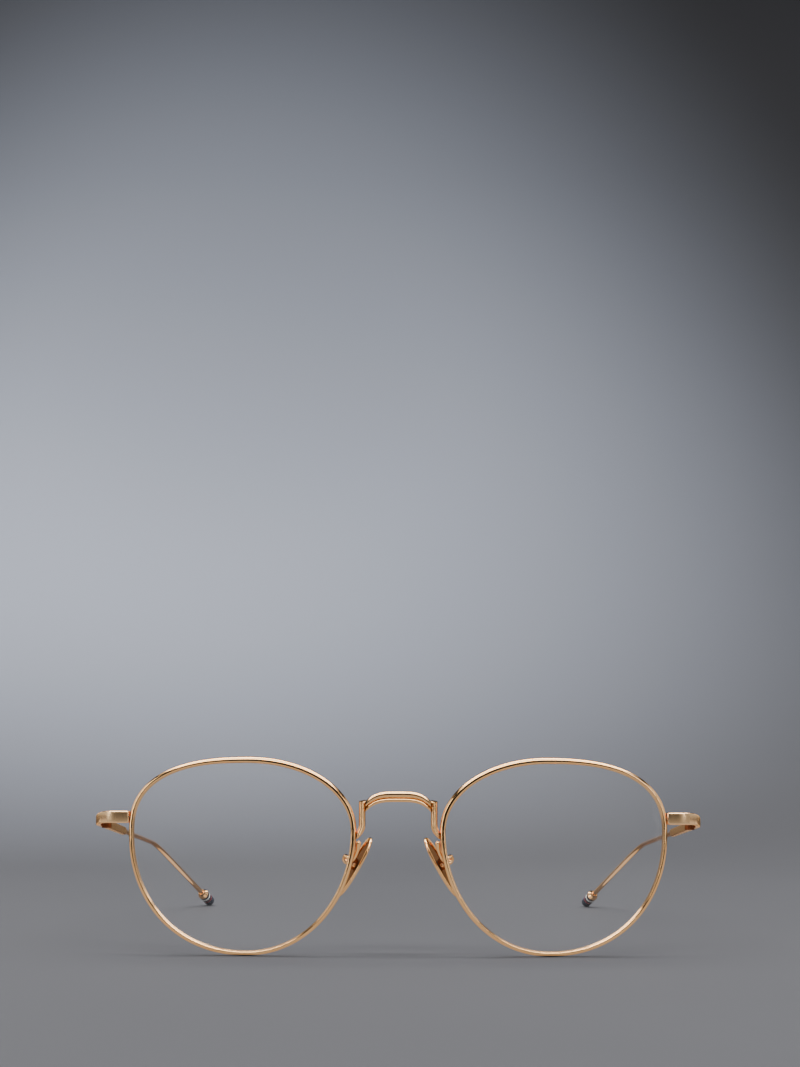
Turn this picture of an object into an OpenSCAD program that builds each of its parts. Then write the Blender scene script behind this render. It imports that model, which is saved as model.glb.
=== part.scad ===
// Round eyeglasses in thin metal, standing open on their rims and temple tips.
// Millimetres. +Z is up, the lenses face -Y and the temples run back along +Y.
// Left and right are the wearer's: the wearer's left side is +X.
// Each paired module draws the +X piece, and the -X piece is its mirror image.

/* [Lenses] */
// Width of one lens across its bevel
lens_w = 50; // [46:0.5:52]
// Height of one lens across its bevel
lens_h = 42.7; // [40:0.1:45]
// Gap between the two lenses at the nose
bridge_gap = 20.6; // [19:0.2:22]
// Height of the lens's widest level above its middle
crown_up = 5.6; // [4:0.1:7]
// Shift of the lens's top and bottom points towards the nose
crown_in = 1.2; // [0:0.1:2]
// Radius of the sphere that lenses and rims lie on
base_r = 105; // [90:1:200]
// Backward turn of each lens at its outer side, in degrees
wrap = 4; // [0:0.5:6]
// Thickness of the lens
lens_t = 1.2; // [1:0.1:1.3]

/* [Rims] */
// Width of the rim wire at its thinnest, seen from the front
rim_w = 1.05; // [1:0.05:1.5]
// Extra width of the rim wire over its upper inner part
rim_swell = 0.45; // [0:0.05:0.6]
// Depth of the rim wire from front to back
rim_d = 1.7; // [1.6:0.1:2.2]
// Depth of the groove that holds the lens
groove = 0.5; // [0.45:0.05:0.6]
// Direction of the endpiece from the lens's widest level, in degrees
lug_angle = 6.5; // [4:0.5:10]

/* [Bridge] */
// Height of the bridge bar
bar_h = 2.4; // [2:0.1:3]
// Depth of the bridge bar from front to back
bar_d = 1.7; // [1.4:0.1:2.2]
// Half the length of the bridge bar
bar_half = 7.3; // [6.5:0.1:8]
// Height of the bar's top above the middle of the lenses
bar_rise = 14.7; // [13:0.1:16]
// Drop of the bar from its middle to its ends
bar_drop = 2.2; // [1:0.1:2.6]
// Width of the bridge posts
post_w = 1.5; // [1.2:0.1:1.7]

/* [Nose pads] */
// Length of a nose pad
pad_l = 15.2; // [13:0.2:16]
// Width of a nose pad
pad_w = 7.4; // [6.5:0.1:8]
// Thickness of a nose pad over its lip
pad_t = 0.8; // [0.7:0.05:1.2]
// Distance of a pad's middle from the centre line
pad_x = 9.7; // [9:0.1:10.5]
// Distance of a pad's middle behind the bridge
pad_back = 7; // [6.5:0.1:8]
// Distance of a pad's middle below the middle of the lenses
pad_drop = 2.5; // [1:0.1:4]
// Frontal angle of the pads: their tops lean together, in degrees
pad_lean = 30; // [25:1:32]
// Splay angle of the pads: their back edges open out, in degrees
pad_splay = 14; // [10:1:24]
// Vertical angle of the pads: their lower ends reach back, in degrees
pad_tilt = 8; // [4:1:12]
// Diameter of the pad arm's wire
arm_d = 0.95; // [0.8:0.05:1.1]
// Diameter of the pad screw
pad_screw_d = 0.6; // [0.5:0.05:0.8]

/* [Endpieces and hinges] */
// Reach of the endpiece outside the rim
endpiece_w = 8.3; // [7.5:0.1:10]
// Thickness of the endpiece and temple strap
strap_t = 1.2; // [1:0.05:1.3]
// Height of the endpiece at the rim
lug_h = 2.75; // [2.4:0.05:3.2]
// Height of the strap at the hinge
strap_h = 2.2; // [2:0.05:2.4]
// Outer radius of the endpiece's bend
bend_r = 5; // [4:0.1:5.5]
// Straight run of the endpiece between its bend and the hinge
lug_run = 2.6; // [2.4:0.1:4]
// Height of the hinge axis's middle above the middle of the lenses
hinge_rise = 7.4; // [6.5:0.1:8.5]
// Diameter of the hinge barrel
barrel_d = 2; // [1.8:0.1:2.3]
// Height of the three hinge knuckles together
barrel_h = 3; // [2.7:0.1:3.6]
// Diameter of the hinge screw
hinge_screw_d = 1.1; // [0.9:0.05:1.2]
// Diameter of the rim screw
rim_screw_d = 1; // [0.8:0.05:1.2]

/* [Temples] */
// Length from the hinge to the ear bend
temple_l = 103.5; // [95:0.5:110]
// Length of the flat strap behind the hinge
strap_l = 40; // [20:1:60]
// Diameter of the temple wire
wire_d = 1.25; // [1.1:0.05:1.5]
// Inward lean of the temple at the ear bend
toe_in = 2.6; // [0:0.1:4]
// Height of the ear bend above the surface
ear_z = 18.9; // [17:0.1:22]
// Radius of the ear bend
ear_r = 30; // [20:1:40]
// Inward reach of the ear end
ear_in = 12.1; // [8:0.1:15]
// Backward reach of the ear end
ear_back = 32.5; // [28:0.5:38]

/* [Tips] */
// Diameter of the rounded tip
tip_d = 2.8; // [2.4:0.1:3.2]
// Length of the tip from its collar to the middle of its round end
tip_l = 4.2; // [4:0.1:6]
// Length of the flared collar
collar_l = 1.9; // [1.5:0.1:2.5]
// Width of each coloured ring
ring_w = 0.65; // [0.5:0.05:0.9]

/* [Hidden] */
$fn = 48;
fit = 0.05;             // gap between pieces that seat on each other
play = 0.05;            // radial gap between a hinge screw and the knuckle that turns on it
seam = 0.16;            // gap between the endpiece's end and the temple's end
knuckle_gap = 0.06;     // gap between two knuckles
face_gap = 0.15;        // gap between the barrel and the strap beside it
rim_split = 0.12;       // gap where the rim is cut, inside the rim lock
lug_gap = 0.2;          // gap between the rim and the endpiece's bevelled end
rim_steps = 90;         // sections round a rim
lens_steps = 90;        // sections round a lens

lens_x = (lens_w + bridge_gap) / 2;

function unit(v) = v / norm(v);
function mix(a, b, t) = a + (b - a) * t;
function ease(t) = t * t * (3 - 2 * t);
function turn_x(p, a) = [p.x, p.y * cos(a) - p.z * sin(a), p.y * sin(a) + p.z * cos(a)];
function turn_y(p, a) = [p.x * cos(a) + p.z * sin(a), p.y, p.z * cos(a) - p.x * sin(a)];
function turn_z(p, a) = [p.x * cos(a) - p.y * sin(a), p.x * sin(a) + p.y * cos(a), p.z];

// A skin over a stack of rings with equal numbers of points, closed by flat ends or by two poles
module skin(rings, poles = []) {
    sides = len(rings[0]);
    last = (len(rings) - 1) * sides;
    top = last + sides;
    walls = [
        for (i = [0 : len(rings) - 2], j = [0 : sides - 1])
            let (a = i * sides + j, b = i * sides + (j + 1) % sides)
                each [[a, b + sides, b], [a, a + sides, b + sides]]
    ];
    flat_ends = [
        [for (j = [0 : sides - 1]) j],
        [for (j = [sides - 1 : -1 : 0]) last + j]
    ];
    fans = [
        for (j = [0 : sides - 1])
            let (k = (j + 1) % sides)
                each [[j, k, top], [last + k, last + j, top + 1]]
    ];
    points = concat([for (ring = rings) each ring], poles);
    polyhedron(points, concat(walls, len(poles) == 0 ? flat_ends : fans));
}

// Directions along a path, halved between the stretches before and after each point
function headings(path) = [
    for (i = [0 : len(path) - 1])
        let (
            before = i > 0 ? unit(path[i] - path[i - 1]) : [0, 0, 0],
            after = i < len(path) - 1 ? unit(path[i + 1] - path[i]) : [0, 0, 0]
        ) unit(before + after)
];

// Sections carried along a path: each point of a section is [sideways, towards "upright"]
function sweep_rings(path, sections, upright) =
    let (ways = headings(path))
    [
        for (i = [0 : len(path) - 1])
            let (
                up = unit(upright - (upright * ways[i]) * ways[i]),
                side = cross(up, ways[i])
            ) [for (p = sections[i]) path[i] + p.x * side + p.y * up]
    ];

// A smooth curve through a few points
function between(a, b, c, d, t) =
    0.5 * ((2 * b) + (c - a) * t + (2 * a - 5 * b + 4 * c - d) * t * t
    + (3 * b - a - 3 * c + d) * t * t * t);
function curve(keys, steps) =
    let (n = len(keys), all = concat([2 * keys[0] - keys[1]], keys, [2 * keys[n - 1] - keys[n - 2]]))
    [
        for (i = [0 : n - 2], j = [0 : steps - (i == n - 2 ? 0 : 1)])
            between(all[i], all[i + 1], all[i + 2], all[i + 3], j / steps)
    ];

// A rectangle of 12 points with round corners, and a circle where the corner is half its width
function strap_section(thick, tall, corner) = [
    for (q = [0 : 3], t = [15, 45, 75])
        let (a = q * 90 + t, sx = q == 0 || q == 3 ? 1 : -1, sy = q < 2 ? 1 : -1)
            [sx * (thick / 2 - corner) + corner * cos(a), sy * (tall / 2 - corner) + corner * sin(a)]
];
function wire_section(r, sides) = [for (j = [0 : sides - 1]) r * [cos(j * 360 / sides), sin(j * 360 / sides)]];

// The lens outline: four superellipse quarters that meet at the widest level
function lens_radius(a) =
    let (
        c = cos(a),
        s = sin(a),
        reach_x = lens_w / 2 + (c > 0 ? crown_in : -crown_in),
        reach_z = lens_h / 2 + (s > 0 ? -crown_up : crown_up),
        power = s > 0 ? (c > 0 ? 2.5 : 2.05) : (c > 0 ? 2.13 : 2.02)
    ) pow(pow(abs(c / reach_x), power) + pow(abs(s / reach_z), power), -1 / power);
function lens_edge(a) = [-crown_in, crown_up] + lens_radius(a) * [cos(a), sin(a)];
function edge_out(a) = let (t = lens_edge(a + 1) - lens_edge(a - 1)) unit([t.y, -t.x]);

// A point on the lens's sphere, lifted to the front of it
function on_sphere(e, lift) =
    let (
        sag = base_r - sqrt(base_r * base_r - e * e),
        front = [e.x, sag - base_r, e.y] / base_r
    ) [e.x, sag, e.y] + lift * front;
function edge_point(a, grow, lift) = on_sphere(lens_edge(a) + grow * edge_out(a), lift);

// Half of the rim wire's section, from the groove's lip to the outside: shares of its width and depth
rim_half = [[0, 0.34], [0.14, 0.47], [0.45, 0.5], [0.82, 0.38], [1, 0.14]];
function rim_width(a) = rim_w + rim_swell * pow((1 + cos(a - 115)) / 2, 2);
function rim_section(a) = concat(
    [[fit, 0]],
    [for (p = rim_half) [p.x * rim_width(a) - groove, p.y * rim_d]],
    [for (i = [4 : -1 : 0]) [rim_half[i].x * rim_width(a) - groove, -rim_half[i].y * rim_d]]
);
function rim_outside(a) = rim_width(a) - groove;

half_split = rim_split / 2 / lens_radius(lug_angle) * 180 / PI;
rim_rings = [
    for (i = [0 : rim_steps])
        let (a = lug_angle + half_split + i * (360 - 2 * half_split) / rim_steps)
            [for (p = rim_section(a)) edge_point(a, p.x, p.y)]
];

// The rims stand on the surface, so their lowest point sets the height of the lenses
lens_z = -min([for (ring = rim_rings, p = ring) p.z]);
function worn(p) = turn_z(p, wrap) + [lens_x, 0, lens_z];
function rim_point(a, grow, lift) = worn(edge_point(a, grow, lift));

// Endpiece and hinge
lug = rim_point(lug_angle, rim_outside(lug_angle), 0);
lug_y = lug.y - 0.35;
half_w = lug.x + endpiece_w;
bend_c = bend_r - strap_t / 2;
bend_x = half_w - bend_r;
strap_x = half_w - strap_t / 2;
hinge_y = lug_y + bend_c + lug_run;
hinge_z = lens_z + hinge_rise;
hinge_x = half_w - strap_t - face_gap - barrel_d / 2;

// Temple: hinge end, ear bend and middle of the round tip
temple_start = [strap_x, hinge_y + seam / 2, hinge_z];
ear_bend = [strap_x - toe_in, hinge_y + temple_l, ear_z];
tip_centre = [ear_bend.x - ear_in, ear_bend.y + ear_back, tip_d / 2];
temple_way = unit(ear_bend - temple_start);
ear_way = unit(tip_centre - ear_bend);
wire_into_tip = 2;
collar_start = tip_centre - (tip_l + collar_l) * ear_way;

// Pads: x leaves the nose, y runs back over the pad's width, and z runs up its length
pad_centre = [pad_x, pad_back, lens_z - pad_drop];
function pad_point(p) = pad_centre + turn_y(turn_x(turn_z(p, -pad_splay), pad_tilt), -pad_lean);
tray_x = pad_t / 2 - 0.5;   // floor of the tray on the pad's back
pad_axis_x = tray_x + 0.75; // the pad screw, over the tray's floor
pad_axis_z = 0.55;          // from the pad's middle to its screw
box_l = 2.4;
box_w = 1.6;
slot_w = 0.8;
lug_r = 0.5;
web_t = 0.3;
box_low = tray_x + 0.2;
box_high = pad_axis_x + lug_r + 0.1 + web_t;

// The object's own frame has its origin on the surface, under the middle of the whole
front_y = -(bar_d / 2 + 0.2);
middle_y = (tip_centre.y + tip_d / 2 + min(front_y, -lens_t / 2)) / 2;

module gold() { color([0.86, 0.66, 0.47]) children(); }
module satin_gold() { color([0.72, 0.58, 0.42]) children(); }
module steel() { color([0.75, 0.72, 0.68]) children(); }

module worn_lens() { translate([lens_x, 0, lens_z]) rotate([0, 0, wrap]) children(); }
module in_pad() {
    translate(pad_centre) rotate([0, -pad_lean, 0]) rotate([pad_tilt, 0, 0]) rotate([0, 0, -pad_splay]) children();
}
module along_ear(at) {
    translate(at) rotate([0, acos(ear_way.z), atan2(ear_way.y, ear_way.x)]) children();
}

module rim() {
    gold() worn_lens() skin(rim_rings);
}

// A meniscus with a V bevel: rings from the middle of its back round the bevel to the middle of its front
module lens() {
    lip = groove + 0.12;
    half_t = lens_t / 2;
    shares = [0.35, 0.7];
    function scaled(share, lift) = [
        for (i = [0 : lens_steps - 1])
            let (a = i * 360 / lens_steps)
                on_sphere(share * (lens_edge(a) - lip * edge_out(a)), lift)
    ];
    function ring(grow, lift) = [for (i = [0 : lens_steps - 1]) edge_point(i * 360 / lens_steps, grow, lift)];
    color([0.9, 0.93, 0.95, 0.35]) worn_lens() skin(
        concat(
            [for (s = shares) scaled(s, -half_t)],
            [ring(-lip, -half_t), ring(-fit, 0), ring(-lip, half_t)],
            [for (i = [len(shares) - 1 : -1 : 0]) scaled(shares[i], half_t)]
        ),
        [[0, half_t, 0], [0, -half_t, 0]]
    );
}

// Arch of the bar's middle line, and the height of its top
bar_y = rim_point(180, 0, 0).y;
bar_top = lens_z + bar_rise;
function bar_z(x) = bar_top - bar_h / 2 - bar_drop * pow(abs(x) / bar_half, 3.7);

// Two rounded ridges over a flat back: the upper ridge is the taller
function bar_section() =
    let (split = -0.12 * bar_h, root = 0.1 * bar_d)
    concat(
        [for (t = [90 : -30 : -90]) [root + 0.4 * bar_d * cos(t), (bar_h / 2 + split) / 2 + (bar_h / 2 - split) / 2 * sin(t)]],
        [for (t = [54 : -36 : -90]) [root + 0.32 * bar_d * cos(t), (split - bar_h / 2) / 2 + (split + bar_h / 2) / 2 * sin(t)]],
        [[-0.5 * bar_d, -0.46 * bar_h], [-0.5 * bar_d, 0.46 * bar_h]]
    );
module bridge_bar() {
    steps = 22;
    gold() skin([
        for (i = [0 : steps])
            let (x = mix(-bar_half, bar_half, i / steps))
                [for (p = bar_section()) [x, bar_y - p.x, bar_z(x) + p.y]]
    ]);
}

// A post rises from a wedge on the rim's nose side to the bar's end, with a rounded front
post_inner = bar_half + 0.02;
post_foot_angle = 183.5;
post_top_angle = 164;
post_slope = 0.2;       // the post's cut top falls towards the rim
module bridge_post() {
    steps = 14;
    foot_z = rim_point(post_foot_angle, 0, 0).z;
    curl_z = foot_z + 3.1;
    gold() skin([
        for (i = [0 : steps])
            let (
                a = mix(post_foot_angle, post_top_angle, i / steps),
                edge = rim_point(a, rim_outside(a), 0),
                curl = max(0, (curl_z - edge.z) / (curl_z - foot_z)),
                outer = min(post_inner + post_w + 1.7 * curl * curl, edge.x - 0.03),
                inner = min(post_inner + 1.7 * curl * curl, outer - 0.12),
                half = (outer - inner) / 2,
                depth = mix(0.5, 0.9, min(1, 2 * half / post_w))
            )
                [
                    for (p = [[-1, 0.2], [-0.75, 0.7], [-0.3, 0.95], [0, 0.8], [0.3, 0.95], [0.75, 0.7], [1, 0.2], [1, -0.8], [-1, -0.8]])
                        [(inner + outer) / 2 + p.x * half, edge.y - p.y * depth, edge.z - (i == steps ? p.x * post_slope : 0)]
                ]
    ]);
}

// Pad arm: soldered beside the rim, it passes behind it, loops behind the lens and comes back to the box
module pad_arm() {
    r = arm_d / 2;
    beside = rim_outside(186) + r + 0.02;
    keys = [
        rim_point(184.5, beside + 0.2, -0.2),
        rim_point(190, beside + 0.1, -0.8),
        rim_point(195, beside - 0.5, -rim_d / 2 - r - 0.3),
        pad_point([box_high + 1.2, -1.9, pad_axis_z + 0.95]),
        pad_point([box_high + 1.4, -0.4, pad_axis_z + 0.75]),
        pad_point([box_high + 1.15, 0.75, pad_axis_z - 0.2]),
        pad_point([box_high + 0.8, 0.4, pad_axis_z - 0.6]),
        pad_point([box_high + 0.25, 0.05, pad_axis_z - 0.25])
    ];
    path = curve(keys, 5);
    last = len(path) - 1;
    function thickness(i) = r * (i == 0 ? 0.55 : i == 1 ? 1.15 : i < 5 ? 1.2 : i == 5 ? 1.1 : i == last ? 0.65 : i == last - 1 ? 0.85 : 1);
    gold() skin(sweep_rings(
        path,
        [for (i = [0 : len(path) - 1]) wire_section(thickness(i), 10)],
        pad_point([1, 0, 0]) - pad_centre
    ));
}

// Pad box: a slotted block on the arm's end, with a screw hole across both cheeks
module pad_box() {
    gold() in_pad() difference() {
        translate([box_low, -box_w / 2, pad_axis_z - box_l / 2]) cube([box_high - box_low, box_w, box_l]);
        translate([box_low - 1, -slot_w / 2, pad_axis_z - box_l]) cube([box_high - web_t - box_low + 1, slot_w, 2 * box_l]);
        translate([pad_axis_x, -box_w, pad_axis_z]) rotate([-90, 0, 0]) cylinder(d = pad_screw_d + 0.04, h = 2 * box_w);
    }
}

// Pad lug: the eye that stands on the pad's back and turns on the screw
module pad_lug() {
    thick = slot_w - 0.14;
    gold() in_pad() difference() {
        union() {
            translate([pad_axis_x, -thick / 2, pad_axis_z]) rotate([-90, 0, 0]) cylinder(r = lug_r, h = thick);
            translate([tray_x + 0.02, -thick / 2, pad_axis_z - lug_r]) cube([pad_axis_x - tray_x - 0.02, thick, 2 * lug_r]);
        }
        translate([pad_axis_x, -thick, pad_axis_z]) rotate([-90, 0, 0]) cylinder(d = pad_screw_d + 2 * play, h = 2 * thick);
    }
}

module pad_screw() {
    head_t = 0.3;
    steel() in_pad() translate([pad_axis_x, 0, pad_axis_z]) rotate([-90, 0, 0]) difference() {
        union() {
            translate([0, 0, -box_w / 2]) cylinder(d = pad_screw_d, h = box_w);
            translate([0, 0, -box_w / 2 - head_t]) cylinder(d = 1.6 * pad_screw_d, h = head_t);
        }
        translate([-pad_screw_d, -0.09, -box_w / 2 - head_t - 0.1]) cube([2 * pad_screw_d, 0.18, 0.22]);
    }
}

// Nose pad: a crowned face to the skin, a rounded lip, and a shallow tray on its back
module nose_pad() {
    around = 36;
    // Each ring: share of the outline, inset from it, and height over the pad's middle layer
    levels = [
        [0.5, 0, -0.5 * pad_t], [0.85, 0, -0.4 * pad_t], [1, 0.12, -0.15 * pad_t], [1, 0, 0.15 * pad_t],
        [1, 0.12, 0.42 * pad_t], [1, 0.32, 0.5 * pad_t], [1, 0.55, 0.42 * pad_t], [1, 0.62, tray_x], [0.45, 0, tray_x]
    ];
    function outline(a) =
        let (c = cos(a), s = sin(a))
        pow(pow(abs(c / (pad_w / 2)), 2.1) + pow(abs(s / (pad_l / 2)), 2.1), -1 / 2.1) * [c, s];
    gold() in_pad() skin(
        [
            for (v = levels)
                [
                    for (j = [0 : around - 1])
                        let (e = outline(j * 360 / around), p = v.x * e - v.y * unit(e))
                            [v.z, p.x, p.y]
                ]
        ],
        [[-0.55 * pad_t, 0, 0], [tray_x, 0, 0]]
    );
}

// Endpiece: from the rim round its bend to the hinge, where it is lower and less tall
module endpiece() {
    corner = 0.22;
    path = concat(
        [[lug.x + lug_gap, lug_y, 0]],
        [for (t = [0 : 9 : 90]) [bend_x + bend_c * sin(t), lug_y + bend_c * (1 - cos(t)), 0]],
        [[strap_x, hinge_y - seam / 2, 0]]
    );
    function fall(i) = ease(max(0, min(1, (path[i].y - lug_y) / (hinge_y - lug_y))));
    satin_gold() skin(sweep_rings(
        [for (i = [0 : len(path) - 1]) path[i] + [0, 0, mix(lug.z, hinge_z, fall(i))]],
        [for (i = [0 : len(path) - 1]) strap_section(strap_t, mix(lug_h, strap_h, fall(i)), corner)],
        [0, 0, 1]
    ));
}

// Rim lock: two blocks on the rim's cut ends, drawn together by a screw from below
lock_h = 1.2;
lock_w = 2.5;
lock_d = 2.3;
lock_y = lug_y + strap_t / 2 + 0.02;
module lock_block(z) {
    x0 = lug.x + 0.05;
    translate([x0, lock_y, z]) cube([lock_w - lock_d / 2, lock_d, lock_h]);
    translate([x0 + lock_w - lock_d / 2, lock_y + lock_d / 2, z]) cylinder(d = lock_d, h = lock_h);
}
lock_axis = [lug.x + 0.05 + lock_w - lock_d / 2, lock_y + lock_d / 2, 0];
lock_head_t = 0.4;
lock_head_d = 1.6 * rim_screw_d;
lock_bottom = lug.z - rim_split / 2 - lock_h;
module rim_lock_upper() {
    gold() difference() {
        lock_block(lug.z + rim_split / 2);
        translate(lock_axis + [0, 0, lug.z - lock_h]) cylinder(d = rim_screw_d + 0.04, h = 4 * lock_h);
    }
}
module rim_lock_lower() {
    gold() difference() {
        lock_block(lock_bottom);
        translate(lock_axis + [0, 0, lug.z - 3 * lock_h]) cylinder(d = rim_screw_d + 2 * play, h = 4 * lock_h);
        // sinks the screw's head
        translate(lock_axis + [0, 0, lock_bottom - 0.1]) cylinder(d = lock_head_d + 2 * play, h = lock_head_t + 0.1);
    }
}
module rim_screw() {
    steel() translate(lock_axis) difference() {
        union() {
            translate([0, 0, lock_bottom]) cylinder(d = rim_screw_d, h = 2 * lock_h + rim_split);
            translate([0, 0, lock_bottom]) cylinder(d = lock_head_d, h = lock_head_t);
        }
        translate([-rim_screw_d, -0.1, lock_bottom - 0.1]) cube([2 * rim_screw_d, 0.2, 0.3]);
    }
}

// Hinge: two outer knuckles on the endpiece, one middle knuckle on the temple
knuckle_h = (barrel_h - 2 * knuckle_gap) / 3;
leaf_t = face_gap + 0.4;
leaf_near = barrel_d / 2 + 0.1;
front_leaf_l = lug_run - leaf_near - 0.05;
temple_leaf_l = 2.2;
toe_angle = atan(toe_in / temple_l);
barrel_low = hinge_z - barrel_h / 2;
module knuckle(z, way) {
    translate([0, 0, z]) cylinder(d = barrel_d, h = knuckle_h);
    near = min(0, way * leaf_near);
    translate([0, near + (way > 0 ? 0.04 : 0), z])
        cube([barrel_d / 2 + face_gap - 0.05, leaf_near - 0.04, knuckle_h]);
}
module front_leaf() {
    tall = 0.84 * strap_h;
    translate([barrel_d / 2 + face_gap - leaf_t, -leaf_near - front_leaf_l, -tall / 2])
        cube([leaf_t - 0.01, front_leaf_l + 0.1, tall]);
}
// The temple's leaf lies along the strap, which leans in from its hinge end
module temple_leaf(tall) {
    translate([barrel_d / 2 + face_gap, seam / 2, -tall / 2]) rotate([0, 0, toe_angle])
        translate([-leaf_t, leaf_near - seam / 2 - 0.06, 0]) cube([leaf_t - 0.02, temple_leaf_l, tall]);
}
module hinge_front() {
    gold() translate([hinge_x, hinge_y, 0]) difference() {
        union() {
            knuckle(barrel_low, -1);
            knuckle(barrel_low + barrel_h - knuckle_h, -1);
            translate([0, 0, hinge_z]) front_leaf();
        }
        translate([0, 0, barrel_low - 1]) cylinder(d = hinge_screw_d + 0.04, h = barrel_h + 2);
    }
}
module hinge_temple() {
    gold() translate([hinge_x, hinge_y, 0]) difference() {
        union() {
            knuckle(hinge_z - knuckle_h / 2, 1);
            translate([0, 0, hinge_z]) temple_leaf(0.8 * strap_h);
        }
        translate([0, 0, barrel_low - 1]) cylinder(d = hinge_screw_d + 2 * play, h = barrel_h + 2);
    }
}
module hinge_screw() {
    head_t = 0.4;
    steel() translate([hinge_x, hinge_y, barrel_low]) difference() {
        union() {
            cylinder(d = hinge_screw_d, h = barrel_h);
            translate([0, 0, barrel_h]) cylinder(d = 1.65 * hinge_screw_d, h = head_t);
        }
        translate([-hinge_screw_d, -0.1, barrel_h + head_t - 0.25]) cube([2 * hinge_screw_d, 0.2, 0.4]);
    }
}

// Temple: a strap drawn down to a round wire, bent at the ear
module temple() {
    shoulder = 2.5;
    half_turn = acos(temple_way * ear_way) / 2;
    tangent = ear_r * tan(half_turn);
    bend_start = ear_bend - tangent * temple_way;
    bend_out = unit(ear_way - temple_way);
    bend_axis = bend_start + ear_r * unit(bend_out - (bend_out * temple_way) * temple_way);
    steps = 12;
    path = concat(
        [for (d = [0, strap_l, strap_l + shoulder / 3, strap_l + shoulder * 2 / 3, strap_l + shoulder]) temple_start + d * temple_way],
        [
            for (i = [0 : steps])
                let (t = 2 * half_turn * i / steps)
                    bend_axis - ear_r * cos(t) * unit(bend_axis - bend_start) + ear_r * sin(t) * temple_way
        ],
        [collar_start + (collar_l + wire_into_tip) * ear_way]
    );
    function slim(i) = i < 2 ? 0 : i > 3 ? 1 : ease((i - 1) / 3);
    function tall(i) = mix(i == 0 ? strap_h : 0.86 * strap_h, wire_d, slim(i));
    function thick(i) = mix(strap_t, wire_d, slim(i));
    satin_gold() skin(sweep_rings(
        path,
        [for (i = [0 : len(path) - 1]) strap_section(thick(i), tall(i), mix(0.22, wire_d / 2, slim(i)))],
        [0, 0, 1]
    ));
}

// Tip: a flared collar, and a bead with a round end and two rings let into it
module turned(profile) { along_ear(collar_start) rotate_extrude() polygon(profile); }
module tip_collar() {
    bore = wire_d / 2 + 0.02;
    r = tip_d / 2;
    gold() turned([
        [bore, 0], [bore + 0.18, 0], [bore + 0.25, 0.15], [bore + 0.25, 0.45 * collar_l],
        [r - 0.05, 0.75 * collar_l], [r + 0.05, 0.82 * collar_l], [r + 0.05, collar_l - 0.05], [r, collar_l], [bore, collar_l]
    ]);
}
ring_depth = 0.3;
ring_fore = collar_l + 0.75;
ring_aft = ring_fore + 2 * ring_w;
module tip_bead() {
    r = tip_d / 2;
    bore = wire_d / 2 + 0.02;
    centre = collar_l + tip_l;
    color([0.09, 0.11, 0.18]) turned(concat(
        [[bore, collar_l + 0.01], [r, collar_l + 0.01]],
        [for (z = [ring_fore, ring_aft]) each [[r, z], [r - ring_depth, z], [r - ring_depth, z + ring_w], [r, z + ring_w]]],
        [for (t = [0 : 10 : 80]) [r * cos(t), centre + r * sin(t)]],
        [[0, centre + r], [0, collar_l + wire_into_tip + 0.1], [bore, collar_l + wire_into_tip + 0.1]]
    ));
}
module tip_ring(z) {
    r = tip_d / 2;
    turned([[r - ring_depth + 0.01, z + 0.01], [r, z + 0.01], [r, z + ring_w - 0.01], [r - ring_depth + 0.01, z + ring_w - 0.01]]);
}
module tip_ring_fore() { color([0.93, 0.91, 0.87]) tip_ring(ring_fore); }
module tip_ring_aft() { color([0.52, 0.13, 0.14]) tip_ring(ring_aft); }

module left() { translate([0, -middle_y, 0]) children(); }
module right() { mirror([1, 0, 0]) left() children(); }

left() rim();  // rim_left
right() rim();  // rim_right
left() lens();  // lens_left
right() lens();  // lens_right
left() bridge_bar();
left() bridge_post();  // bridge_post_left
right() bridge_post();  // bridge_post_right
left() pad_arm();  // pad_arm_left
right() pad_arm();  // pad_arm_right
left() pad_box();  // pad_box_left
right() pad_box();  // pad_box_right
left() pad_screw();  // pad_screw_left
right() pad_screw();  // pad_screw_right
left() pad_lug();  // pad_lug_left
right() pad_lug();  // pad_lug_right
left() nose_pad();  // nose_pad_left
right() nose_pad();  // nose_pad_right
left() endpiece();  // endpiece_left
right() endpiece();  // endpiece_right
left() rim_lock_upper();  // rim_lock_upper_left
right() rim_lock_upper();  // rim_lock_upper_right
left() rim_lock_lower();  // rim_lock_lower_left
right() rim_lock_lower();  // rim_lock_lower_right
left() rim_screw();  // rim_screw_left
right() rim_screw();  // rim_screw_right
left() hinge_front();  // hinge_front_left
right() hinge_front();  // hinge_front_right
left() hinge_temple();  // hinge_temple_left
right() hinge_temple();  // hinge_temple_right
left() hinge_screw();  // hinge_screw_left
right() hinge_screw();  // hinge_screw_right
left() temple();  // temple_left
right() temple();  // temple_right
left() tip_collar();  // tip_collar_left
right() tip_collar();  // tip_collar_right
left() tip_bead();  // tip_bead_left
right() tip_bead();  // tip_bead_right
left() tip_ring_fore();  // tip_ring_fore_left
right() tip_ring_fore();  // tip_ring_fore_right
left() tip_ring_aft();  // tip_ring_aft_left
right() tip_ring_aft();  // tip_ring_aft_right
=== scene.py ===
"""Round eyeglasses in polished and satin gold, standing open on a grey floor.

Left and right are the wearer's: the wearer's left side is +X. The glasses are sketched in
millimetres from the lenses backwards, and to_row() turns the sketch into the row frame in
metres. Each paired piece is made for +X and mirrored. Angles are in degrees. The floor and
the lights are written in metres.
"""

import math

import bmesh
import bpy
import numpy as np
from mathutils import Euler, Matrix, Vector


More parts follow.
